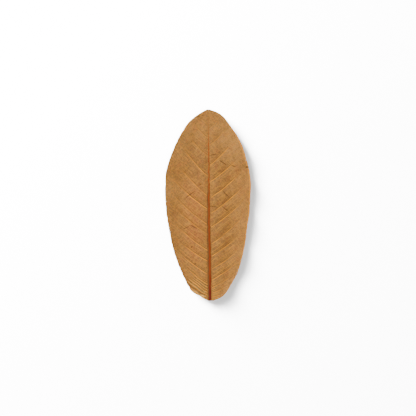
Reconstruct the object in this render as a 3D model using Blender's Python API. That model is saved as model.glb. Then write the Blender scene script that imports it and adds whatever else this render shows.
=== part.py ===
# A dried guava leaf, lying with its upper side up.
# One solid: the blade, the midrib and the side veins grew as one piece.
# Metres, +Z up. +Y runs along the midrib to the tip, +X to the right of it.
# The origin is under the middle of the leaf, on the surface that it lies on.

import math

import bmesh
import bpy
import numpy as np

LEAF_NAME = "guava_leaf"
MM = 0.001
LEFT, MIDDLE, RIGHT = -1, 0, 1

LEAF_LENGTH = 110.0 * MM
BLADE_THICKNESS = 0.75 * MM
MIDRIB_LEAN = 0.72 * MM  # how far the midrib's base stands to the right of its tip

# The outline: for each point, the distance up from the cut base and the distance out
# from the midrib's line to the margin, in millimetres.
MARGINS = {
    LEFT: [
        (0.0, 1.0), (1.7, 4.0), (4.5, 9.1), (7.2, 11.3), (11.4, 13.6), (18.4, 17.0),
        (29.0, 20.7), (39.4, 22.9), (49.8, 24.6), (60.2, 25.3), (67.2, 25.2),
        (74.1, 24.7), (81.0, 22.7), (88.0, 20.0), (94.9, 16.6), (101.8, 12.2),
        (105.3, 8.5), (108.0, 4.3), (110.0, 0.6),
    ],
    RIGHT: [
        (0.0, 2.0), (1.8, 6.2), (3.6, 8.5), (6.5, 10.8), (14.7, 15.4), (18.6, 17.0),
        (25.5, 18.9), (32.5, 20.5), (42.9, 21.9), (49.8, 23.1), (56.8, 23.6),
        (67.2, 24.1), (74.1, 23.4), (81.0, 21.7), (88.0, 19.7), (94.9, 16.5),
        (98.4, 14.0), (101.8, 11.7), (105.3, 9.2), (108.3, 4.9), (110.0, 0.0),
    ],
}

# Each side vein: how far up from the base it leaves the midrib, in millimetres, and the
# share of the margin that it climbs to, counted from the base.
VEINS = {
    LEFT: [
        (2.8, 0.150), (5.0, 0.205), (9.5, 0.262), (15.1, 0.314), (22.6, 0.372),
        (28.7, 0.455), (38.2, 0.535), (43.7, 0.585), (52.6, 0.650), (60.1, 0.728),
        (71.7, 0.804), (83.2, 0.858), (93.5, 0.912), (101.1, 0.955),
    ],
    RIGHT: [
        (2.1, 0.068), (4.3, 0.120), (7.4, 0.185), (11.8, 0.247), (18.2, 0.310),
        (25.4, 0.392), (32.5, 0.474), (42.1, 0.546), (50.1, 0.614), (59.1, 0.678),
        (68.4, 0.740), (77.8, 0.818), (89.3, 0.885), (98.9, 0.940),
    ],
}
VEIN_START_SLOPE = 0.70  # a vein sets out flatter than its mean slope, by this factor
BASE_ROW_SHARE = 0.02  # share of the margin that the rounded base itself takes up

# The midrib: a low narrow line on the upper side and a stout rib under the blade.
# Each pair is the size at the base and at the tip.
RIB_HALF_WIDTH = (1.15 * MM, 0.35 * MM)
RIB_DEPTH = (1.20 * MM, 0.25 * MM)
LINE_HALF_WIDTH = (0.70 * MM, 0.28 * MM)
LINE_HEIGHT = (0.35 * MM, 0.12 * MM)
GROOVE_DEPTH = 0.50 * MM
GROOVE_WIDTH = 2.2 * MM

# The side veins: sunk lines with the blade puffed up between them, and ridges below.
PUFF_HEIGHT = 0.40 * MM
PUFF_START = 0.1  # the puff is full from this share of the way out
PUFF_LOSS = 0.75  # share of it that is lost at the margin
PUFF_END_LENGTH = 18 * MM  # it shrinks over this length at the base and at the tip
RIDGE_DEPTH = 0.40 * MM
RIDGE_REACH = 0.14  # how far a ridge reaches, as a share of the gap between two veins

# The lie of the blade. Each half arches beside the midrib, bellies down to the surface
# further out and turns up along its margin. Both ends of the midrib rise a little.
SHOULDER_HEIGHT = 0.55 * MM
BELLY_DROP = 1.5 * MM
BELLY_PLACE = 0.62
MARGIN_RISE = 3.0 * MM
MARGIN_TURN = 0.55  # the margin's part of the blade, which turns up, starts here
MARGIN_CURL = 1.7
LOW_POINT = 0.46  # where the midrib is lowest, as a share of its length
BASE_RISE = 1.8 * MM
TIP_RISE = 2.2 * MM
END_CURL = 2.2
WAVE_HEIGHT = 0.40 * MM
WAVES = 5.5  # along each margin
WAVE_START = {LEFT: 2.5, MIDDLE: 0.0, RIGHT: 0.6}
FLAT_SPOT_SINK = 0.45 * MM  # what the low points lose where they flatten on the surface

# The mesh: columns from the midrib to the margin as shares of the way, and rows that
# follow the veins as shares of the gap from one vein to the next.
RIB_COLUMNS = (0.5, 1.0)
BLADE_COLUMNS = (0.06, 0.15, 0.27, 0.40, 0.50, 0.59, 0.70, 0.83, 0.93, 1.0)
GAP_ROWS = (0.0, 0.09, 0.31, 0.69, 0.91)
MERGE_DISTANCE = 0.02 * MM


def smooth_line(points):
    """A Catmull-Rom line through the points, and how far along it each place is."""
    points = np.array(points) * MM
    ends = np.vstack([2 * points[0] - points[1], points, 2 * points[-1] - points[-2]])
    t = np.linspace(0, 1, 24, endpoint=False)[:, None]
    spans = [
        0.5 * (2 * b + (c - a) * t + (2 * a - 5 * b + 4 * c - d) * t**2
               + (3 * b - a - 3 * c + d) * t**3)
        for a, b, c, d in zip(ends, ends[1:], ends[2:], ends[3:])
    ]
    line = np.vstack(spans + [points[-1:]])
    steps = np.linalg.norm(np.diff(line, axis=0), axis=1)
    place = np.concatenate([[0], np.cumsum(steps)])
    return line, place / place[-1]


def at_share(line_and_place, share):
    """(y, distance out) at this share of a smooth line."""
    line, place = line_and_place
    return np.interp(share, place, line[:, 0]), np.interp(share, place, line[:, 1])


def taper(sizes, y):
    """A size that changes evenly from the base to the tip."""
    return sizes[0] + (sizes[1] - sizes[0]) * y / LEAF_LENGTH


def half_round(across, half_width):
    return math.sqrt(max(1 - (across / half_width) ** 2, 0.0))


def midrib_x(y):
    return MIDRIB_LEAN * (0.5 - y / LEAF_LENGTH)


def row_starts(side):
    """For each row of one half: (y on the midrib, reach along the margin, share of the gap)."""
    stops = [(0.0, BASE_ROW_SHARE)] + VEINS[side] + [(LEAF_LENGTH / MM, 1.0)]
    starts = [
        ((low + gap * (high - low)) * MM, low_reach + gap * (high_reach - low_reach), gap)
        for (low, low_reach), (high, high_reach) in zip(stops, stops[1:])
        for gap in GAP_ROWS
    ]
    return starts + [(LEAF_LENGTH, 1.0, 0.0)]


def row_point(start, reach, out, margin):
    """(distance from the midrib, y) on the row that leaves it at start, out of the way."""
    end_y, end_across = at_share(margin, reach)
    foot = min(taper(RIB_HALF_WIDTH, start), end_across)
    if start == 0.0:
        # The lowest row is the rounded base itself.
        y, across = at_share(margin, reach * out)
        return max(across, foot), y
    climb = VEIN_START_SLOPE * out + (1 - VEIN_START_SLOPE) * out**2
    return foot + (end_across - foot) * out, start + (end_y - start) * climb


def lie_of_blade(out, y, side):
    """Height of the blade's smooth form, with out from 0 at the midrib to 1."""
    place = min(max(y / LEAF_LENGTH, 0.0), 1.0)
    room = 4 * place * (1 - place)
    shoulder = SHOULDER_HEIGHT * math.sin(math.pi * min(2 * out, 1.0))
    belly = BELLY_DROP * math.sin(math.pi / 2 * min(out / BELLY_PLACE, 1.0)) ** 2
    turn = MARGIN_RISE * (max(out - MARGIN_TURN, 0.0) / (1 - MARGIN_TURN)) ** MARGIN_CURL
    wave = WAVE_HEIGHT * out**3 * math.sin(2 * math.pi * WAVES * place + WAVE_START[side])
    if place < LOW_POINT:
        end = BASE_RISE * (1 - place / LOW_POINT) ** END_CURL
    else:
        end = TIP_RISE * ((place - LOW_POINT) / (1 - LOW_POINT)) ** END_CURL
    return (shoulder - belly + turn) * room + wave + end


def puff(out, start, gap):
    """How far the blade is puffed up between two veins."""
    near_end = min(start, LEAF_LENGTH - start, PUFF_END_LENGTH) / PUFF_END_LENGTH
    near_midrib = min(out / PUFF_START, 1.0)
    height = PUFF_HEIGHT * math.sin(math.pi * gap)
    return height * near_end * near_midrib * (1 - PUFF_LOSS * out**2)


def ridge(out, start, gap):
    """How far a side vein stands out below the blade."""
    if out == 0 or start in (0.0, LEAF_LENGTH):
        return 0.0
    to_vein = min(gap, 1 - gap)
    return RIDGE_DEPTH * (1 - out**3) * max(1 - to_vein / RIDGE_REACH, 0.0)


def relief(out, across, start, gap):
    """What the midrib and the veins add to the smooth form, above and below."""
    blade = puff(out, start, gap) - GROOVE_DEPTH * math.exp(-((across / GROOVE_WIDTH) ** 2))
    line = taper(LINE_HEIGHT, start) * half_round(across, taper(LINE_HALF_WIDTH, start))
    rib = taper(RIB_DEPTH, start) * half_round(across, taper(RIB_HALF_WIDTH, start))
    return blade + line, blade - rib - ridge(out, start, gap)


def mesh_columns():
    """(side, share across the rib, share out over the blade) from left to right."""
    half = [(share, 0.0) for share in RIB_COLUMNS] + [(1.0, share) for share in BLADE_COLUMNS]
    left = [(LEFT, *shares) for shares in reversed(half)]
    right = [(RIGHT, *shares) for shares in half]
    return left + [(MIDDLE, 0.0, 0.0)] + right


def lay_out(bm, upper, lower):
    """Moves a square grid onto the leaf's plan and notes both faces' heights."""
    columns = mesh_columns()
    rows = {side: row_starts(side) for side in (LEFT, RIGHT)}
    margins = {side: smooth_line(MARGINS[side]) for side in (LEFT, RIGHT)}
    last_row = len(rows[LEFT]) - 1
    bmesh.ops.create_grid(bm, x_segments=len(columns) - 1, y_segments=last_row, size=1.0)
    for vert in bm.verts:
        side, rib_share, out = columns[round((vert.co.x + 1) / 2 * (len(columns) - 1))]
        row = round((vert.co.y + 1) / 2 * last_row)
        if side == MIDDLE:
            start, gap = (rows[LEFT][row][0] + rows[RIGHT][row][0]) / 2, 0.5
        else:
            start, reach, gap = rows[side][row]
        if out > 0:
            across, y = row_point(start, reach, out, margins[side])
        else:
            tip_width = 0.0 if row == last_row else 1.0
            across, y = rib_share * tip_width * taper(RIB_HALF_WIDTH, start), start
        above, below = relief(out, across, start, gap)
        form = lie_of_blade(out, y, side)
        vert[upper] = form + above
        vert[lower] = form + below - BLADE_THICKNESS
        vert.co = (midrib_x(y) + side * across, y, 0.0)


def leaf_mesh():
    """The blade as a grid laid along its veins, with its underside extruded from it."""
    bm = bmesh.new()
    upper = bm.verts.layers.float.new("upper")
    lower = bm.verts.layers.float.new("lower")
    lay_out(bm, upper, lower)
    bmesh.ops.remove_doubles(bm, verts=bm.verts, dist=MERGE_DISTANCE)
    bmesh.ops.triangulate(bm, faces=bm.faces)
    top = list(bm.verts)
    made = bmesh.ops.extrude_face_region(bm, geom=bm.faces[:])["geom"]
    under = [item for item in made if isinstance(item, bmesh.types.BMVert)]
    ground = min(vert[lower] for vert in under) + FLAT_SPOT_SINK
    for vert in top:
        vert.co.z = vert[upper]
    for vert in under:
        vert.co.z = max(vert[lower], ground)
    bmesh.ops.recalc_face_normals(bm, faces=bm.faces)
    plan = np.array([vert.co for vert in top])
    middle = (plan.min(axis=0) + plan.max(axis=0)) / 2
    bmesh.ops.translate(bm, verts=bm.verts, vec=(-middle[0], -middle[1], -ground))
    mesh = bpy.data.meshes.new(LEAF_NAME)
    bm.to_mesh(mesh)
    bm.free()
    return mesh


def leaf_material():
    """Dried leaf: matt tan-brown, with no shine of its own."""
    material = bpy.data.materials.new("dried_leaf")
    material.use_nodes = True
    shader = material.node_tree.nodes["Principled BSDF"]
    shader.inputs["Base Color"].default_value = (0.462, 0.220, 0.070, 1.0)
    shader.inputs["Roughness"].default_value = 0.72
    shader.inputs["Metallic"].default_value = 0.0
    return material


def main():
    for obj in list(bpy.data.objects):
        bpy.data.objects.remove(obj)
    collection = bpy.data.collections.new(LEAF_NAME)
    bpy.context.scene.collection.children.link(collection)
    leaf = bpy.data.objects.new(LEAF_NAME, leaf_mesh())
    leaf.data.materials.append(leaf_material())
    leaf.data.shade_smooth()
    leaf.data.set_sharp_from_angle(angle=math.radians(50))
    collection.objects.link(leaf)


main()
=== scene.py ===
import math

import bmesh
import bpy
import numpy as np
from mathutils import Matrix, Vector, noise


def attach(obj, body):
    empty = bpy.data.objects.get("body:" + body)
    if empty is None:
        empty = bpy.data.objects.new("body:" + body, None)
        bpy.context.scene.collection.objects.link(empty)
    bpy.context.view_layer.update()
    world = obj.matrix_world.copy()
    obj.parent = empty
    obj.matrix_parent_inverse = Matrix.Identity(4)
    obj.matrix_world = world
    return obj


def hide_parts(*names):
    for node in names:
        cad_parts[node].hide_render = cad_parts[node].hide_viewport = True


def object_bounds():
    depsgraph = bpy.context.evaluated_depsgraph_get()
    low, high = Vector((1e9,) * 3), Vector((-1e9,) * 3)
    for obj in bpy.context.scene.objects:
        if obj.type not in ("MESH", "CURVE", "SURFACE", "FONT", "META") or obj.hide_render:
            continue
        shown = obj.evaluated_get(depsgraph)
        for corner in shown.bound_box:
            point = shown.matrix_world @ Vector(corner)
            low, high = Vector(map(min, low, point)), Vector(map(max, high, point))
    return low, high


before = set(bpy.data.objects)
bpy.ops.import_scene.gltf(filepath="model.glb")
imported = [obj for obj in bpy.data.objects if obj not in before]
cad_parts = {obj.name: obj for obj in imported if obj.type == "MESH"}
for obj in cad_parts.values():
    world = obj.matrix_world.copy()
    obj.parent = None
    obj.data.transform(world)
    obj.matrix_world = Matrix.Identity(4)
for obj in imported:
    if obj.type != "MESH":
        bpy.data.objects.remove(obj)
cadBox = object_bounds()

# A dried guava leaf, upper side up. Lengths are in millimetres until the mesh is made.
# +Y runs along the midrib to the tip and +X to the right of it.
millimetre = 0.001
left, right = -1, 1

leafForm = {
    "length": 110.0,
    "thickness": 0.75,
    "marginThickness": 0.30,
    "thinFrom": 0.62,  # share of the way out where the blade starts to thin
    "midribLean": 0.72,  # how far the midrib's base stands to the right of its tip
    "midribBend": 0.22,  # how far the lower third of the midrib lies to the right
    "bendWidth": 5.0,
    "bendEnd": (25.0, 40.0),  # the bend fades between these heights
    "baseRowShare": 0.02,
    "veinStartSlope": 0.70,
    "shoulderHeight": 0.55,
    "bellyDrop": 1.5,
    "bellyPlace": 0.62,
    "marginRise": 3.0,
    "marginTurn": 0.55,
    "marginCurl": 1.7,
    "lowPoint": 0.46,  # share of the length where the leaf lies lowest
    "baseRise": 1.8,
    "tipRise": 2.2,
    "endCurl": 2.2,
    "waveHeight": 0.40,
    "waves": 5.5,
    "waveStart": {left: 2.5, right: 0.6},
    "edgeWaver": 0.16,  # unevenness of the margin
    "edgeWaverLength": 2.2,
    "edgeRagged": 2.5,  # how much more uneven it is beside the base, on the left
    "crumple": 0.14,  # slow unevenness of the dried blade
    "crumpleSize": (11.0, 11.0),
    "wrinkle": 0.03,
    "wrinkleSize": (2.2, 2.2),
    "ribColumns": 5,
    "bladeColumns": 62,
    "weldDistance": 0.02,
    "sharpAngle": 55.0,
}

# The outline: up from the cut base, and out from the midrib's line to the margin.
margins = {
    left: [
        (0.0, 1.0), (1.7, 4.2), (3.4, 6.6), (4.7, 9.8), (7.2, 11.7), (11.4, 13.8),
        (18.4, 17.0), (29.0, 20.7), (39.4, 22.9), (49.8, 24.6), (60.2, 25.3), (67.2, 25.2),
        (74.1, 24.7), (81.0, 22.7), (88.0, 20.0), (94.9, 16.6), (101.8, 12.2),
        (105.3, 8.5), (108.0, 4.7), (110.0, 1.0),
    ],
    right: [
        (0.0, 2.0), (1.8, 6.2), (3.6, 8.5), (6.5, 10.8), (14.7, 15.4), (18.6, 17.0),
        (25.5, 18.9), (32.5, 20.5), (42.9, 21.9), (49.8, 23.1), (56.8, 23.6),
        (67.2, 24.1), (74.1, 23.4), (81.0, 21.7), (88.0, 19.7), (94.9, 16.5),
        (98.4, 14.0), (101.8, 11.7), (105.3, 9.2), (108.3, 5.3), (110.0, 0.5),
    ],
}
marginSteps = 24  # steps of the smooth line between two of these points

# Each side vein: where it leaves the midrib, the share of the margin that it climbs to
# from the base, and how strongly it shows.
sideVeins = {
    left: [
        (2.8, 0.150, 0.9), (5.0, 0.205, 0.9), (9.5, 0.262, 0.8), (15.1, 0.314, 1.0),
        (22.6, 0.372, 1.0), (28.7, 0.455, 1.0), (38.2, 0.535, 0.6), (43.7, 0.585, 0.6),
        (52.6, 0.650, 1.3), (60.1, 0.728, 0.6), (71.7, 0.804, 0.85), (83.2, 0.858, 0.4),
        (93.5, 0.912, 0.35), (101.1, 0.955, 0.2),
    ],
    right: [
        (2.1, 0.068, 0.8), (4.3, 0.120, 0.8), (7.4, 0.185, 0.8), (11.8, 0.247, 0.9),
        (18.2, 0.310, 0.8), (25.4, 0.392, 0.8), (32.5, 0.474, 1.0), (42.1, 0.546, 1.0),
        (50.1, 0.614, 0.9), (59.1, 0.678, 0.9), (68.4, 0.740, 1.0), (77.8, 0.818, 0.8),
        (89.3, 0.885, 0.4), (98.9, 0.940, 0.2),
    ],
}
# rows of the mesh in each gap between two side veins, from the base up
rowsInGap = (16, 16, 24, 18, 21, 20, 26, 22, 24, 24, 29, 30, 30, 24, 27)
rowCrowding = 0.45  # how much closer the rows lie beside a vein

midribForm = {
    "ribHalfWidth": (1.15, 0.35),  # at the base and at the tip
    "ribDepth": (1.20, 0.25),
    "lineHalfWidth": (0.70, 0.28),
    "lineHeight": (0.35, 0.12),
    "grooveDepth": (0.50, 0.15),
    "grooveWidth": 2.2,
}

veinForm = {
    "puffHeight": 0.34,
    "puffStart": 0.10,
    "puffLoss": 0.75,
    "puffEndLength": 18.0,
    "ridgeDepth": 0.40,
    "ridgeHalfWidth": 0.60,
    "cordHeight": 0.10,  # the vein's round back at the bottom of its furrow
    "cordHalfWidth": 0.30,
    "waver": 0.30,  # how far a vein strays from its smooth line
    "waverSize": (5.5, 9.0),  # of its bends, across the blade and up the midrib
    "fade": (0.42, 0.86),  # shares of the way out between which a side vein fades
    "showShares": (0.8, 0.7),  # how strongly it shows, and how much that varies in patches
    "patchSize": (3.0, 5.0),
    "clear": 5.0,  # the distance to a vein that the midrib's own points are given
    "minorPlaces": (0.33, 0.64),  # small veins between two side veins, as shares of the gap
    "minorFade": (0.60, 0.92),  # they fade on the way out, and up the leaf
    "minorEnd": (40.0, 85.0),
    "netAngle": 40.0,
    "netCell": (1.2, 2.0),  # a cell of the net, along and across the side veins
    "netDepth": 0.07,
}

# The margin is crinkled beside the base, on the left. The folds fade between two shares of
# the size given, and bend a little.
crinkle = {
    "centre": (-7.0, 7.0),
    "size": (10.5, 9.0),
    "fade": (0.5, 1.15),
    "height": 0.24,
    "rowSpacing": 1.4,
    "bend": 2.0,
    "bendSize": (4.0, 4.0),
}

# Dark fine creases, each from one end to the other, from the middle of the leaf.
creases = [
    ((6.6, 25.8), (11.0, 22.9)), ((13.3, 22.9), (16.2, 22.0)), ((8.4, 8.4), (12.1, 4.4)),
    ((8.4, -0.9), (12.1, -3.8)), ((1.1, -0.9), (4.6, -0.6)), ((-14.6, -14.2), (-9.9, -11.6)),
    ((-14.0, 3.2), (-7.0, 8.4)), ((-5.3, 11.3), (-3.5, 12.2)), ((-10.0, -24.6), (-8.8, -23.6)),
    ((1.0, 28.6), (5.0, 29.2)), ((-9.9, -11.6), (-6.2, -13.6)),
]
creaseForm = {"depth": 0.08, "halfWidth": 0.38, "endTaper": 0.15, "furthest": 9.0}

# Painted light: a pale rim along the margin, where its turned-up edge catches the light,
# between two shares of the way out. On the left, where the margin faces away from the light,
# it is fainter above the crinkles and below the tip.
rimLightForm = {"width": (0.950, 0.982), "leftLoss": 0.75, "lossFrom": (8.0, 16.0),
           "lossTo": (90.0, 100.0)}

# Soft oval areas where the blade is redder, paler, duller, marked or frayed, with painted
# light on the tip, the right margin and the frayed edge: place, size and strength, from the
# middle of the leaf.
tints = {
    "blush": [((-7.5, -6.0), (6.0, 26.0), 0.9), ((-8.0, -18.0), (4.5, 3.0), 0.6),
              ((-8.0, -31.0), (4.0, 3.0), 0.7), ((7.0, 30.0), (6.0, 6.0), 0.3)],
    "pale": [((10.0, 41.0), (10.0, 14.0), 1.0), ((-12.0, 42.0), (8.0, 10.0), 0.5),
             ((13.0, 27.0), (7.0, 9.0), 0.5), ((20.5, -10.0), (4.0, 40.0), 0.3),
             ((-23.0, 8.0), (3.5, 14.0), 0.6), ((-6.0, -48.0), (7.0, 5.0), 0.6),
             ((-16.0, 35.0), (4.0, 5.0), 0.6)],
    # partly painted light: paler patches on the tip and the right margin
    "light": [((13.0, 42.0), (6.0, 9.0), 0.8), ((-12.0, 43.0), (4.0, 6.0), 0.4),
              ((22.0, 20.0), (3.0, 7.0), 0.35)],
    "dim": [((-21.0, -12.0), (5.0, 22.0), 0.4), ((-8.0, 28.0), (6.0, 9.0), 0.9),
            ((-6.0, 20.0), (6.0, 10.0), 0.8), ((9.0, 0.0), (5.0, 40.0), 0.7),
            ((3.4, -14.0), (3.0, 38.0), 0.7), ((3.8, 35.0), (2.5, 12.0), 0.5),
            ((-10.0, -34.0), (5.0, 5.0), 0.9), ((3.5, -39.0), (3.0, 6.0), 0.4),
            ((15.5, -20.0), (3.5, 15.0), 0.5)],
    "mark": [((22.6, 21.8), (1.2, 0.55), 0.95), ((-5.6, 50.8), (1.3, 0.4), 0.7),
             ((-2.9, 51.7), (1.0, 0.35), 0.7), ((-9.3, -24.1), (0.7, 0.5), 0.7),
             ((-9.3, 36.8), (0.5, 0.5), 0.6), ((-11.5, -26.0), (0.5, 0.4), 0.6)],
    # a pale frayed edge beside the base, with a painted highlight on it
    "frayedAndHighlight": [((-3.7, -52.3), (1.2, 0.6), 1.1), ((-2.7, -52.9), (0.7, 0.5), 0.8),
               ((-1.8, -50.0), (1.0, 0.3), 0.6), ((-1.5, -52.4), (0.3, 0.5), 0.5)],
}

# One number for each noise keeps it the same each run. Where the halves differ, their
# side, -1 or 1, is added.
noiseSeeds = {"crumple": 1, "wrinkle": 2, "net": 3, "waver": 5, "folds": 8, "patches": 11,
              "margin": 21}


def smoothLine(points):
    # a Catmull-Rom line through the points, and how far along it each place is
    points = np.array(points)
    ends = np.vstack([2 * points[0] - points[1], points, 2 * points[-1] - points[-2]])
    t = np.linspace(0, 1, marginSteps, endpoint=False)[:, None]
    spans = [
        0.5 * (2 * b + (c - a) * t + (2 * a - 5 * b + 4 * c - d) * t**2
               + (3 * b - a - 3 * c + d) * t**3)
        for a, b, c, d in zip(ends, ends[1:], ends[2:], ends[3:])
    ]
    line = np.vstack(spans + [points[-1:]])
    steps = np.linalg.norm(np.diff(line, axis=0), axis=1)
    place = np.concatenate([[0], np.cumsum(steps)])
    return line[:, 0], line[:, 1], place / place[-1]


def taper(sizes, y):
    return sizes[0] + (sizes[1] - sizes[0]) * y / leafForm["length"]


def rounded(share):
    return np.sqrt(np.clip(1 - share**2, 0, 1))


def smoothStep(value, low, high):
    t = np.clip((value - low) / (high - low), 0, 1)
    return t * t * (3 - 2 * t)


def midribX(y):
    return leafForm["midribLean"] * (0.5 - y / leafForm["length"])


def midribShift(y, across):
    # the midrib bends a little low down, and the blade beside it with it
    low = 1 - smoothStep(y, *leafForm["bendEnd"])
    return leafForm["midribBend"] * low * np.exp(-((across / leafForm["bendWidth"]) ** 2))


def middleOfLeaf():
    # the middle between the margins, where each stands furthest out
    reach = {}
    for side in (left, right):
        y, across, place = smoothLine(margins[side])
        reach[side] = midribX(y) + side * across
    return (reach[right].max() + reach[left].min()) / 2


def veinStops(side):
    # where the gaps between the side veins start and end on the midrib
    return np.array([0.0] + [vein[0] for vein in sideVeins[side]] + [leafForm["length"]])


def veinRows(side):
    # for each row of the mesh: its start on the midrib, its place between two veins,
    # which gap it lies in and how strongly the nearer vein shows
    stops = veinStops(side)
    shows = [0.0] + [vein[2] for vein in sideVeins[side]] + [0.0]
    starts, gaps, gapNumbers, nearShow = [], [], [], []
    for k, count in enumerate(rowsInGap):
        for step in range(count):
            even = step / count
            gap = even - rowCrowding * math.sin(2 * math.pi * even) / (2 * math.pi)
            starts.append(stops[k] + gap * (stops[k + 1] - stops[k]))
            gaps.append(gap)
            gapNumbers.append(k)
            nearShow.append(shows[k] if gap < 0.5 else shows[k + 1])
    starts.append(stops[-1])
    gaps.append(1.0)
    gapNumbers.append(len(rowsInGap) - 1)
    nearShow.append(0.0)
    return np.array(starts), np.array(gaps), np.array(gapNumbers), np.array(nearShow)


def layRows(side, starts, out):
    # distance from the midrib and place along it for rows (down) and shares out (across)
    lineY, lineAcross, linePlace = smoothLine(margins[side])
    firstShare = leafForm["baseRowShare"]
    shares = [firstShare] + [vein[1] for vein in sideVeins[side]] + [1.0]
    reach = np.interp(starts, veinStops(side), shares)
    endY = np.interp(reach, linePlace, lineY)[:, None]
    endAcross = np.interp(reach, linePlace, lineAcross)[:, None]
    foot = np.minimum(taper(midribForm["ribHalfWidth"], starts)[:, None], endAcross)
    slope = leafForm["veinStartSlope"]
    climb = slope * out + (1 - slope) * out**2
    across = foot + (endAcross - foot) * out
    y = starts[:, None] + (endY - starts[:, None]) * climb
    # the lowest row is the rounded base itself
    y[0] = np.interp(firstShare * out, linePlace, lineY)
    across[0] = np.maximum(np.interp(firstShare * out, linePlace, lineAcross), foot[0])
    steepness = (endY - starts[:, None]) * (slope + 2 * (1 - slope) * out)
    steepness = steepness / np.maximum(endAcross - foot, 0.3)
    return across, y, 1 / np.sqrt(1 + steepness**2)


def lieOfBlade(out, y, side):
    form = leafForm
    place = np.clip(y / form["length"], 0, 1)
    room = 4 * place * (1 - place)
    shoulder = form["shoulderHeight"] * np.sin(np.pi * np.minimum(2 * out, 1))
    belly = form["bellyDrop"] * np.sin(np.pi / 2 * np.minimum(out / form["bellyPlace"], 1)) ** 2
    turned = np.maximum(out - form["marginTurn"], 0) / (1 - form["marginTurn"])
    turn = form["marginRise"] * turned ** form["marginCurl"]
    wave = form["waveHeight"] * out**3 * np.sin(
        2 * np.pi * form["waves"] * place + form["waveStart"][side])
    low = form["lowPoint"]
    baseEnd = form["baseRise"] * np.maximum(1 - place / low, 0) ** form["endCurl"]
    tipEnd = form["tipRise"] * np.maximum((place - low) / (1 - low), 0) ** form["endCurl"]
    return (shoulder - belly + turn) * room + wave + baseEnd + tipEnd


def speckle(x, y, lumpSize, seed):
    # one smooth noise value from -1 to 1 for each point, in lumps of the size given
    offset = Vector((seed * 17.3, seed * 5.1, seed * 9.7))
    wide, high = lumpSize
    values = [noise.noise(Vector((a / wide, b / high, 0)) + offset)
              for a, b in zip(x.ravel(), y.ravel())]
    return np.array(values).reshape(x.shape)


def cellEdges(x, y, seed):
    # how far inside its cell each point lies: 0 on the net's lines
    offset = Vector((seed * 11.9, seed * 3.3, 0))
    edges = []
    for a, b in zip(x.ravel(), y.ravel()):
        distances = noise.voronoi(Vector((a, b, 0)) + offset)[0]
        edges.append(distances[1] - distances[0])
    return np.array(edges).reshape(x.shape)


def softSpots(x, y, spots):
    total = np.zeros(x.shape)
    for (spotX, spotY), (wide, high), strength in spots:
        across, up = x - middleX - spotX, y - leafForm["length"] / 2 - spotY
        total = total + strength * np.exp(-((across / wide) ** 2) - (up / high) ** 2)
    return total


def creaseDistance(x, y):
    nearest = np.full(x.shape, creaseForm["furthest"])
    for (x0, y0), (x1, y1) in creases:
        runX, runY = x1 - x0, y1 - y0
        along = np.clip(((x - x0) * runX + (y - y0) * runY) / (runX**2 + runY**2), 0, 1)
        distance = np.hypot(x - x0 - along * runX, y - y0 - along * runY)
        # the crease is widest in its middle
        narrower = creaseForm["endTaper"] * np.abs(2 * along - 1) ** 2
        nearest = np.minimum(nearest, distance + narrower)
    return nearest


def halfLeaf(side):
    # every size that the mesh and the colours need, for each row and column of one half
    starts, gaps, gapNumbers, nearShow = veinRows(side)
    ribShares = np.linspace(0, 1, leafForm["ribColumns"] + 1)[1:]
    out = np.linspace(0, 1, leafForm["bladeColumns"] + 1)[1:][None, :]
    across, y, levelness = layRows(side, starts, out)
    stopY = layRows(side, veinStops(side), out)[1]
    gapHeight = stopY[gapNumbers + 1] - stopY[gapNumbers]
    toVein = np.minimum(gaps, 1 - gaps)[:, None] * gapHeight * levelness
    fromMinor = np.min([np.abs(gaps - place) for place in veinForm["minorPlaces"]], axis=0)
    toMinor = fromMinor[:, None] * gapHeight * levelness
    foot = np.minimum(taper(midribForm["ribHalfWidth"], starts)[:, None], across[:, -1:])
    foot[-1] = 0.0
    ribAcross = foot * ribShares[None, :]
    ribY = np.repeat(starts[:, None], len(ribShares), axis=1)
    noVein = np.full(ribY.shape, veinForm["clear"])
    columns = across.shape[1] + len(ribShares)
    alongRows = {name: np.repeat(values[:, None], columns, axis=1)
                 for name, values in (("start", starts), ("gap", gaps), ("show", nearShow))}
    return {
        "side": side,
        "across": np.hstack([ribAcross, across]),
        "y": np.hstack([ribY, y]),
        "out": np.hstack([0 * ribY, np.repeat(out, len(starts), axis=0)]),
        "toVein": np.hstack([noVein, toVein]),
        "toMinor": np.hstack([noVein, toMinor]),
        **alongRows,
    }


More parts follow.
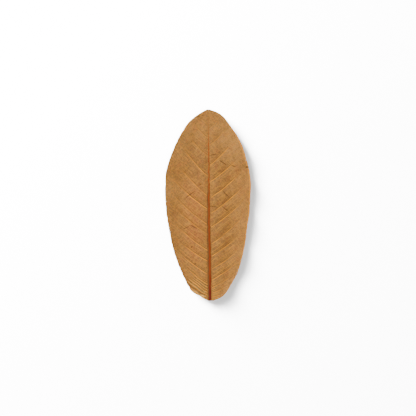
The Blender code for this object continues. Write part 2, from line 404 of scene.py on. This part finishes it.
def shapeHalf(half):
    # heights of both faces, and what the colours follow
    side, out, y, start = half["side"], half["out"], half["y"], half["start"]
    across, gap, toVein = half["across"], half["gap"], half["toVein"]
    length = leafForm["length"]
    vein, rib = veinForm, midribForm

    # the rows waver a little, so no vein is a ruler's line, but not at the blade's edges
    waver = vein["waver"] * speckle(across, start, vein["waverSize"], noiseSeeds["waver"] + side)
    inside = smoothStep(out, 0.0, 0.15) * (1 - smoothStep(out, 0.80, 1.0))
    inside = inside * smoothStep(start, 0.0, 8.0) * smoothStep(length - start, 0.0, 12.0)
    y = y + waver * inside

    # the margin is uneven, most of all beside the base on the left, but not at its two ends
    besideBase = (side == left) * (1 - smoothStep(y, 6.0, 16.0))
    ragged = 1 + leafForm["edgeRagged"] * besideBase
    uneven = speckle(y, 0 * y, (leafForm["edgeWaverLength"], 1.0), noiseSeeds["margin"] + side)
    offEnds = smoothStep(length - y, 0.5, 6.0) * smoothStep(y, 0.3, 3.0)
    across = across - leafForm["edgeWaver"] * ragged * np.maximum(uneven, -0.2) * offEnds * out**6
    x = midribX(y) + side * across + midribShift(y, across)

    nearEnd = np.minimum(np.minimum(start, length - start), vein["puffEndLength"])
    puff = vein["puffHeight"] * np.sin(np.pi * gap) * nearEnd / vein["puffEndLength"]
    puff = puff * np.minimum(out / vein["puffStart"], 1) * (1 - vein["puffLoss"] * out**2)
    groove = taper(rib["grooveDepth"], start) * np.exp(-((across / rib["grooveWidth"]) ** 2))
    line = taper(rib["lineHeight"], start) * rounded(across / taper(rib["lineHalfWidth"], start))
    ribBelow = taper(rib["ribDepth"], start) * rounded(across / taper(rib["ribHalfWidth"], start))

    onBlade = (out > 0) * 1.0
    patchy = speckle(across, start, vein["patchSize"], noiseSeeds["patches"] + side)
    even, varied = vein["showShares"]
    veinFade = half["show"] * (1 - smoothStep(out, *vein["fade"])) * (even + varied * patchy)
    cord = vein["cordHeight"] * veinFade * rounded(toVein / vein["cordHalfWidth"]) ** 2
    ridge = vein["ridgeDepth"] * (1 - out**3) * rounded(toVein / vein["ridgeHalfWidth"]) * onBlade
    ridge = ridge * (half["show"] > 0)

    # the net of small veins is laid along and across the side veins
    turn = math.radians(vein["netAngle"])
    along = across * math.cos(turn) + y * math.sin(turn)
    over = y * math.cos(turn) - across * math.sin(turn)
    cellWide, cellHigh = vein["netCell"]
    net = cellEdges(along / cellWide, over / cellHigh, noiseSeeds["net"] + side)
    pillow = vein["netDepth"] * (smoothStep(net, 0.0, 0.45) - 0.6) * onBlade
    pillow = pillow * smoothStep(out, 0.0, 0.08) * (1 - 0.6 * smoothStep(out, 0.9, 1.0))

    crumple = leafForm["crumple"] * speckle(x, y, leafForm["crumpleSize"], noiseSeeds["crumple"])
    wrinkle = leafForm["wrinkle"] * speckle(x, y, leafForm["wrinkleSize"], noiseSeeds["wrinkle"])
    creaseMm = creaseDistance(x - middleX, y - length / 2)
    crease = creaseForm["depth"] * rounded(creaseMm / creaseForm["halfWidth"]) ** 2
    fromCrinkle = np.hypot((x - crinkle["centre"][0]) / crinkle["size"][0],
                           (y - crinkle["centre"][1]) / crinkle["size"][1])
    crinkled = (1 - smoothStep(fromCrinkle, *crinkle["fade"])) * onBlade
    bend = crinkle["bend"] * speckle(x, y, crinkle["bendSize"], noiseSeeds["folds"])
    foldLine = np.sin(2 * np.pi * start / crinkle["rowSpacing"] + bend)
    folds = crinkle["height"] * crinkled * foldLine
    # the painted rim light is fainter on the left
    loss = smoothStep(y, *rimLightForm["lossFrom"]) * (1 - smoothStep(y, *rimLightForm["lossTo"]))
    rimLightShare = 1.0 if side == right else 1.0 - rimLightForm["leftLoss"] * loss

    form = lieOfBlade(out, y, side) + crumple + wrinkle - groove + puff + folds
    thin = smoothStep(out, leafForm["thinFrom"], 1.0)
    thickness = leafForm["thickness"] + (leafForm["marginThickness"] - leafForm["thickness"]) * thin
    minorShow = smoothStep(patchy, -0.25, 0.35) * onBlade
    minorShow = minorShow * (1 - smoothStep(out, *vein["minorFade"]))
    minorShow = minorShow * (1 - smoothStep(y, *vein["minorEnd"]))
    return {
        "x": x,
        "y": y,
        "top": form + line + cord + pillow - crease,
        "bottom": form - ribBelow - ridge - thickness + pillow - crease,
        "veinMm": toVein,
        "veinShow": veinFade * onBlade,
        "fromMidrib": side * across,
        "tipSide": (gap < 0.5) * 1.0,
        "minorMm": half["toMinor"],
        "minorShow": minorShow,
        "net": net,
        "creaseMm": creaseMm,
        "fold": foldLine * crinkled,
        # where the painted rim light lies
        "rimLight": smoothStep(out, *rimLightForm["width"]) * rimLightShare,
        "along": along * side,
        "over": over,
        **{name: softSpots(x, y, spots) for name, spots in tints.items()},
    }


def wholeLeaf():
    # both halves side by side, with the midrib's middle line between them
    halves = {side: shapeHalf(halfLeaf(side)) for side in (left, right)}
    sheet = {}
    for name in halves[left]:
        west, east = halves[left][name][:, ::-1], halves[right][name]
        sheet[name] = np.hstack([west, (west[:, -1:] + east[:, :1]) / 2, east])
    middle = len(sheet["x"][0]) // 2
    starts = (veinRows(left)[0] + veinRows(right)[0]) / 2
    # the middle stands as far above the columns beside it as the midrib's line is round
    height = taper(midribForm["lineHeight"], starts)
    nearest = taper(midribForm["ribHalfWidth"], starts) / leafForm["ribColumns"]
    crest = height - height * rounded(nearest / taper(midribForm["lineHalfWidth"], starts))
    sheet["x"][:, middle] = midribX(starts) + midribShift(starts, 0.0)
    sheet["y"][:, middle] = starts
    sheet["fromMidrib"][:, middle] = 0.0
    sheet["top"][:, middle] += crest
    return sheet


def leafMesh(sheet):
    rows, columns = sheet["x"].shape
    bm = bmesh.new()
    place = bm.verts.layers.int.new("place")
    below = bm.verts.layers.int.new("below")
    bmesh.ops.create_grid(bm, x_segments=columns - 1, y_segments=rows - 1, size=1.0)
    for vert in bm.verts:
        column = round((vert.co.x + 1) / 2 * (columns - 1))
        row = round((vert.co.y + 1) / 2 * (rows - 1))
        vert[place] = row * columns + column
        vert.co = (sheet["x"][row, column] * millimetre, sheet["y"][row, column] * millimetre, 0)
    # Near the tip, and in a few spots at the base, points lie almost in one place and are
    # welded. At the base that leaves a few edges with one, three or four faces, not two.
    bmesh.ops.remove_doubles(bm, verts=bm.verts, dist=leafForm["weldDistance"] * millimetre)
    bmesh.ops.triangulate(bm, faces=bm.faces)
    # the underside is extruded from the upper side, so both split into triangles alike
    made = bmesh.ops.extrude_face_region(bm, geom=bm.faces[:])["geom"]
    under = [item for item in made if isinstance(item, bmesh.types.BMVert)]
    for vert in under:
        vert[below] = 1
    lift = cadBox[1][2] / millimetre - sheet["top"].max()
    top = (sheet["top"].ravel() + lift) * millimetre
    bottom = np.maximum(sheet["bottom"].ravel() + lift, 0) * millimetre
    for vert in bm.verts:
        vert.co.z = bottom[vert[place]] if vert[below] else top[vert[place]]
        vert.co.x -= middleX * millimetre
        vert.co.y -= leafForm["length"] / 2 * millimetre
    bmesh.ops.recalc_face_normals(bm, faces=bm.faces)
    mesh = bpy.data.meshes.new("guavaLeafBlade")
    bm.to_mesh(mesh)
    bm.free()
    return mesh


surfaceSizes = ("veinMm", "veinShow", "tipSide", "minorMm", "minorShow", "fromMidrib", "net",
                "creaseMm", "fold", "rimLight", *tints)


def addSurfaceSizes(mesh, sheet):
    # what the colours follow, kept on the mesh in millimetres or shares
    count = len(mesh.vertices)
    places, below = np.zeros(count, int), np.zeros(count, int)
    mesh.attributes["place"].data.foreach_get("value", places)
    mesh.attributes["below"].data.foreach_get("value", below)
    for name in surfaceSizes:
        layer = mesh.attributes.new(name, "FLOAT", "POINT")
        layer.data.foreach_set("value", sheet[name].ravel()[places].astype(np.float32))
    layer = mesh.attributes.new("underside", "FLOAT", "POINT")
    layer.data.foreach_set("value", below.astype(np.float32))
    layer = mesh.attributes.new("veinPlan", "FLOAT_VECTOR", "POINT")
    plan = np.stack([sheet["along"].ravel()[places], sheet["over"].ravel()[places], 0 * places], 1)
    layer.data.foreach_set("vector", plan.astype(np.float32).ravel())
    mesh.attributes.remove(mesh.attributes["place"])
    mesh.attributes.remove(mesh.attributes["below"])


def paint(hexColour):
    # an sRGB hex colour as linear light
    shares = [int(hexColour[i:i + 2], 16) / 255 for i in (1, 3, 5)]
    linear = [s / 12.92 if s <= 0.04045 else ((s + 0.055) / 1.055) ** 2.4 for s in shares]
    return (*linear, 1.0)


def addNode(tree, kind, inputs=None, result=0, **settings):
    # adds a node with its settings and links, and gives back its result
    node = tree.nodes.new(kind)
    for name, value in settings.items():
        setattr(node, name, value)
    for socket, value in (inputs or {}).items():
        if isinstance(value, bpy.types.NodeSocket):
            tree.links.new(value, node.inputs[socket])
        else:
            node.inputs[socket].default_value = value
    return node.outputs[result]


leafColours = {
    "blade": "#B0783C",
    "bladeDeep": "#8E5E2D",
    "bladePale": "#CC9450",
    # partly the tip's own paler colour, partly painted light on the tip and the right margin
    "light": "#F0A854",
    "blush": "#BE6C35",
    "olive": "#A5783B",
    "veinlet": "#DE9638",
    # dark brown for dark grain and small dark lines, also painted shade in the folds' troughs
    "shadow": "#6F4825",
    "vein": "#FBA22A",
    # painted shade on the tip's side of each side vein
    "paintedVeinShade": "#6E4825",
    "midribBase": "#74230F",
    "midribMiddle": "#99430F",
    "midribTip": "#AA4E0C",
    # darker tissue beside the midrib, with painted shade of its groove
    "flankAndShade": "#6B4524",
    "crease": "#4A301A",
    "dull": "#966939",
    # painted light along the margin's edge
    "rimLight": "#F09834",
    # painted highlight on the crests of the crinkled folds
    "paintedFoldHighlight": "#FAB24C",
    # pale frayed edge with a painted highlight
    "frayedAndHighlight": "#FFC05E",
    "under": "#AE8A58",
    "underVein": "#A0784A",
}

# Half the painted width of the midrib and of its dark flank, which is darker tissue with
# painted shade of the groove's walls: from one height to another, from the middle of the
# leaf, and the half width at each.
paintedHalfWidths = {"rib": (-55.0, 45.0, 0.66, 0.17), "flankAndShade": (-20.0, 30.0, 0.90, 0.38)}

leafFinish = {
    "ior": 1.40,
    "specular": 0.25,
    "roughness": (0.60, 0.78),
    "relief": 0.15,
    "reliefStrength": 0.5,
    "cell": 1.1,  # the skin's real cells are far finer, and these show as its grain
    "midribWaver": 0.22,
}


def layTints(tree, colour, layers, edge="SMOOTHSTEP"):
    # Lays one tint after another over a colour. Each layer says what it follows, the values
    # of that at no tint and at full tint, where it stays, its tint and its share.
    for follows, start, full, where, tint, share in layers:
        mask = addNode(tree, "ShaderNodeMapRange", {
            "Value": follows, "From Min": start, "From Max": full, "To Max": share},
            interpolation_type=edge)
        if where is not None:
            mask = addNode(tree, "ShaderNodeMath", {0: mask, 1: where}, operation="MULTIPLY")
        colour = addNode(tree, "ShaderNodeMix", {
            0: mask, 6: colour, 7: paint(leafColours[tint])}, result=2, data_type="RGBA")
    return colour


def leafMaterial():
    # Dried leaf: a thin waxy skin over a net of veins. It is matt tan-brown with a faint
    # satin sheen, mottled cell by cell, and its veins are paler than the blade.
    material = bpy.data.materials.new("driedGuavaLeaf")
    material.use_nodes = True
    tree = material.node_tree
    shader = tree.nodes["Principled BSDF"]
    finish = leafFinish

    size = {name: addNode(tree, "ShaderNodeAttribute", result="Fac", attribute_name=name)
            for name in (*surfaceSizes, "underside")}
    plan = addNode(tree, "ShaderNodeAttribute", result="Vector", attribute_name="veinPlan")
    place = addNode(tree, "ShaderNodeTexCoord", result="Object")
    inMm = addNode(tree, "ShaderNodeMapping", {"Vector": place, "Scale": (1 / millimetre,) * 3})
    up = addNode(tree, "ShaderNodeSeparateXYZ", {"Vector": inMm}, result="Y")

    # lumps of colour about 12 mm, 3 mm, 0.8 mm and 0.4 mm across
    lumps = {
        name: addNode(tree, "ShaderNodeTexNoise", {
            "Vector": inMm, "Scale": 1 / millimetres, "Detail": detail, "Roughness": 0.6})
        for name, millimetres, detail in (
            ("patch", 12.0, 3.0), ("cloud", 3.0, 2.0), ("mottle", 0.8, 2.0), ("grain", 0.4, 1.0))
    }
    # Small veins, as the lines where a stretched noise crosses its middle value. The real
    # ones are 0.1 mm wide, and these are twice as wide, so that they show. The spacing is in
    # millimetres, along and across the side veins.
    for name, (alongMm, acrossMm) in (("alongVeins", (6.25, 1.43)), ("acrossVeins", (1.43, 4.55)),
                                      ("darkAcross", (1.05, 3.33)), ("slanting", (2.0, 2.0))):
        stretched = addNode(tree, "ShaderNodeMapping", {
            "Vector": plan, "Scale": (1 / alongMm, 1 / acrossMm, 1)})
        level = addNode(tree, "ShaderNodeTexNoise", {
            "Vector": stretched, "Scale": 1.0, "Detail": 1.5, "Roughness": 0.45})
        centred = addNode(tree, "ShaderNodeMath", {0: level, 1: 0.5}, operation="SUBTRACT")
        lumps[name] = addNode(tree, "ShaderNodeMath", {0: centred}, operation="ABSOLUTE")
    cells = addNode(tree, "ShaderNodeTexVoronoi", {"Vector": inMm, "Scale": 1 / finish["cell"]},
                    feature="DISTANCE_TO_EDGE")

    # the midrib's edges are a little uneven
    waver = finish["midribWaver"]
    uneven = addNode(tree, "ShaderNodeMapRange", {
        "Value": lumps["cloud"], "From Min": 0.3, "From Max": 0.7, "To Min": -waver,
        "To Max": waver})
    fromLine = addNode(tree, "ShaderNodeMath", {0: size["fromMidrib"], 1: uneven}, operation="ADD")
    fromRib = addNode(tree, "ShaderNodeMath", {0: fromLine}, operation="ABSOLUTE")
    # the dark flank stands a little to the left, as painted shade on the groove's wall that faces
    # away from the light
    fromFlankAndShade = addNode(tree, "ShaderNodeMath", {0: fromLine, 1: 0.3}, operation="ADD")
    fromFlankAndShade = addNode(tree, "ShaderNodeMath", {0: fromFlankAndShade}, operation="ABSOLUTE")
    halfWidths = {
        name: addNode(tree, "ShaderNodeMapRange", {
            "Value": up, "From Min": low, "From Max": high, "To Min": atLow, "To Max": atHigh})
        for name, (low, high, atLow, atHigh) in paintedHalfWidths.items()
    }
    flankAndShadeShare = addNode(tree, "ShaderNodeMath", {0: fromFlankAndShade, 1: halfWidths["flankAndShade"]},
                         operation="DIVIDE")
    ribShare = addNode(tree, "ShaderNodeMath", {0: fromRib, 1: halfWidths["rib"]},
                       operation="DIVIDE")
    belowTip = addNode(tree, "ShaderNodeMapRange", {
        "Value": up, "From Min": 52.0, "From Max": 36.0})
    lower = addNode(tree, "ShaderNodeMapRange", {
        "Value": up, "From Min": 20.0, "From Max": 6.0})
    # painted shade: the dark line on the tip's side of each side vein, where the wall of its
    # furrow turns away from the light, as long as the vein shows
    shadeBesideVein = addNode(tree, "ShaderNodeMath", {0: size["tipSide"], 1: size["veinShow"]},
                         operation="MULTIPLY")

    colour = layTints(tree, paint(leafColours["blade"]), [
        (lumps["patch"], 0.40, 0.64, None, "bladePale", 0.22),
        (size["pale"], 0.0, 1.0, None, "bladePale", 0.72),
        # partly painted light on the tip and the right margin
        (size["light"], 0.0, 1.0, None, "light", 0.45),
        (size["blush"], 0.0, 1.0, None, "blush", 0.75),
        (size["dim"], 0.0, 1.0, None, "dull", 0.72),
        (lumps["cloud"], 0.50, 0.66, None, "blush", 0.38),
        (lumps["cloud"], 0.48, 0.32, None, "olive", 0.50),
        (cells, 0.14, 0.02, None, "bladeDeep", 0.20),
        (lumps["mottle"], 0.54, 0.70, None, "bladeDeep", 0.34),
        (lumps["mottle"], 0.46, 0.30, None, "veinlet", 0.22),
        (lumps["grain"], 0.55, 0.72, None, "shadow", 0.18),
        (lumps["grain"], 0.45, 0.28, None, "veinlet", 0.18),
        (size["net"], 0.16, 0.02, None, "shadow", 0.20),
        (lumps["slanting"], 0.030, 0.008, None, "bladeDeep", 0.34),
        (lumps["darkAcross"], 0.045, 0.010, None, "shadow", 0.26),
        (lumps["acrossVeins"], 0.045, 0.010, None, "veinlet", 0.38),
        (lumps["alongVeins"], 0.045, 0.010, None, "veinlet", 0.38),
        (size["minorMm"], 0.30, 0.12, size["minorShow"], "veinlet", 0.75),
        # painted shade beside each side vein, then the vein's own paler colour
        (size["veinMm"], 0.72, 0.42, shadeBesideVein, "paintedVeinShade", 0.84),
        (size["veinMm"], 0.32, 0.20, size["veinShow"], "vein", 1.0),
        # painted highlight on the folds' crests and painted shade in their troughs
        (size["fold"], 0.35, 0.90, None, "paintedFoldHighlight", 0.85),
        (size["fold"], -0.40, -0.95, None, "shadow", 0.60),
        (size["creaseMm"], 0.37, 0.13, None, "crease", 0.82),
        # painted light: the pale rim along the margin
        (size["rimLight"], 0.0, 1.0, None, "rimLight", 0.78),
        # the frayed edge, with a painted highlight
        (size["frayedAndHighlight"], 0.1, 0.6, None, "frayedAndHighlight", 0.95),
        (size["mark"], 0.2, 0.8, None, "crease", 0.90),
        # the midrib's dark flank, low down: darker tissue and painted shade of its groove
        (flankAndShadeShare, 1.8, 0.6, lower, "flankAndShade", 0.85),
    ])

    # the midrib, red-brown at the base and orange-brown further up, fading before the tip
    ribColour = layTints(tree, paint(leafColours["midribBase"]), [
        (up, -51.0, -38.0, None, "midribMiddle", 1.0),
        (up, -20.0, 40.0, None, "midribTip", 1.0),
        (lumps["patch"], 0.50, 0.38, None, "midribBase", 0.35),
    ], edge="LINEAR")
    mask = addNode(tree, "ShaderNodeMapRange", {
        "Value": ribShare, "From Min": 1.2, "From Max": 0.8}, interpolation_type="SMOOTHSTEP")
    mask = addNode(tree, "ShaderNodeMath", {0: mask, 1: belowTip}, operation="MULTIPLY")
    colour = addNode(tree, "ShaderNodeMix", {0: mask, 6: colour, 7: ribColour},
                     result=2, data_type="RGBA")

    # the underside is paler and greyer, with the veins standing out
    below = layTints(tree, paint(leafColours["under"]), [
        (lumps["cloud"], 0.45, 0.65, None, "blade", 0.5),
        (lumps["mottle"], 0.50, 0.70, None, "bladeDeep", 0.4),
        (size["net"], 0.16, 0.02, None, "underVein", 0.6),
        (size["veinMm"], 0.80, 0.40, None, "underVein", 0.8),
        (ribShare, 2.0, 1.6, None, "midribTip", 0.7),
    ])
    colour = addNode(tree, "ShaderNodeMix", {0: size["underside"], 6: colour, 7: below},
                     result=2, data_type="RGBA")
    tree.links.new(colour, shader.inputs["Base Color"])

    # skin cells and small veins, finer than the mesh
    relief = addNode(tree, "ShaderNodeMapRange", {
        "Value": cells, "From Max": 0.2, "To Max": 0.25}, interpolation_type="SMOOTHSTEP")
    for name in ("acrossVeins", "alongVeins"):
        furrow = addNode(tree, "ShaderNodeMapRange", {
            "Value": lumps[name], "From Max": 0.03, "To Max": 0.3}, interpolation_type="SMOOTHSTEP")
        relief = addNode(tree, "ShaderNodeMath", {0: relief, 1: furrow}, operation="ADD")
    relief = addNode(tree, "ShaderNodeMath", {0: relief, 1: lumps["mottle"]}, operation="ADD")
    bump = addNode(tree, "ShaderNodeBump", {
        "Height": relief, "Distance": finish["relief"] * millimetre,
        "Strength": finish["reliefStrength"]})
    tree.links.new(bump, shader.inputs["Normal"])
    smoothest, roughest = finish["roughness"]
    roughness = addNode(tree, "ShaderNodeMapRange", {
        "Value": lumps["mottle"], "From Min": 0.3, "From Max": 0.7, "To Min": smoothest,
        "To Max": roughest})
    tree.links.new(roughness, shader.inputs["Roughness"])
    shader.inputs["IOR"].default_value = finish["ior"]
    shader.inputs["Specular IOR Level"].default_value = finish["specular"]
    return material


sceneSetting = {
    "floorSize": 1.5,
    "floorColour": "#F4F4F4",
    "worldColour": "#FFFFFF",
    "worldStrength": 0.40,
    "cameraHeight": 1.2,
    "frameWidth": 0.2400,  # what the square picture takes in
    "frameCentre": (0.00005, -0.0017),
}

# Each light: place, size, power and what it falls on. The leaf has one of its own. The
# floor's whiten it, and the leaf casts its soft shadow in them, darkest beside the leaf.
studioLights = {
    "key": ((-0.25, 0.80, 0.75), 0.18, 15.7, "leaf"),
    "fill": ((0.35, -0.45, 1.10), 0.50, 13.0, "floor"),
    "highWash": ((-0.88, 0.80, 1.07), 0.8, 56.0, "floor"),
    "middleWash": ((-1.06, 0.95, 0.73), 0.9, 278.0, "floor"),
    "lowWash": ((-1.10, 1.05, 0.47), 0.8, 760.0, "floor"),
}


def aim(place, target):
    return (Vector(target) - Vector(place)).to_track_quat("-Z", "Y").to_euler()


def addLight(name, place, size, power, onlyOn):
    lamp = bpy.data.lights.new(name, "AREA")
    lamp.shape = "DISK"
    lamp.size = size
    lamp.energy = power
    holder = bpy.data.objects.new(name, lamp)
    holder.location = place
    holder.rotation_euler = aim(place, (0, 0, 0))
    bpy.context.scene.collection.objects.link(holder)
    holder.light_linking.receiver_collection = onlyOn


def addStudio(leaf):
    setting = sceneSetting
    bm = bmesh.new()
    bmesh.ops.create_grid(bm, x_segments=1, y_segments=1, size=setting["floorSize"])
    mesh = bpy.data.meshes.new("floor")
    bm.to_mesh(mesh)
    bm.free()
    floor = bpy.data.objects.new("floor", mesh)
    bpy.context.scene.collection.objects.link(floor)
    # Matt white card: it shows nothing but the leaf's soft shadow.
    card = bpy.data.materials.new("mattWhiteCard")
    card.use_nodes = True
    shader = card.node_tree.nodes["Principled BSDF"]
    shader.inputs["Base Color"].default_value = paint(setting["floorColour"])
    shader.inputs["Roughness"].default_value = 0.9
    shader.inputs["Specular IOR Level"].default_value = 0.2
    mesh.materials.append(card)
    floor.visible_diffuse = False  # so the white floor doesn't light the leaf from below

    world = bpy.data.worlds.new("studio")
    bpy.context.scene.world = world
    world.use_nodes = True
    background = world.node_tree.nodes["Background"]
    background.inputs["Color"].default_value = paint(setting["worldColour"])
    background.inputs["Strength"].default_value = setting["worldStrength"]
    lit = {}
    for name, thing in (("leaf", leaf), ("floor", floor)):
        lit[name] = bpy.data.collections.new(name + "Only")
        lit[name].objects.link(thing)
    for name, (place, size, power, fallsOn) in studioLights.items():
        addLight(name, place, size, power, lit[fallsOn])

    camera = bpy.data.cameras.new("camera")
    camera.lens = camera.sensor_width * setting["cameraHeight"] / setting["frameWidth"]
    camera.clip_end = 10
    holder = bpy.data.objects.new("camera", camera)
    holder.location = (*setting["frameCentre"], setting["cameraHeight"])
    bpy.context.scene.collection.objects.link(holder)
    bpy.context.scene.camera = holder


middleX = middleOfLeaf()
sheet = wholeLeaf()
print("laid out", sheet["x"].size, "points of the blade")
mesh = leafMesh(sheet)
addSurfaceSizes(mesh, sheet)
mesh.shade_smooth()
mesh.set_sharp_from_angle(angle=math.radians(leafForm["sharpAngle"]))
mesh.materials.append(leafMaterial())
leaf = bpy.data.objects.new("leafBlade", mesh)
bpy.context.scene.collection.objects.link(leaf)
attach(leaf, "root")
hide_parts("guava_leaf")
print("made the leaf:", len(mesh.polygons), "faces")

addStudio(leaf)
print("set the floor, lights and camera")
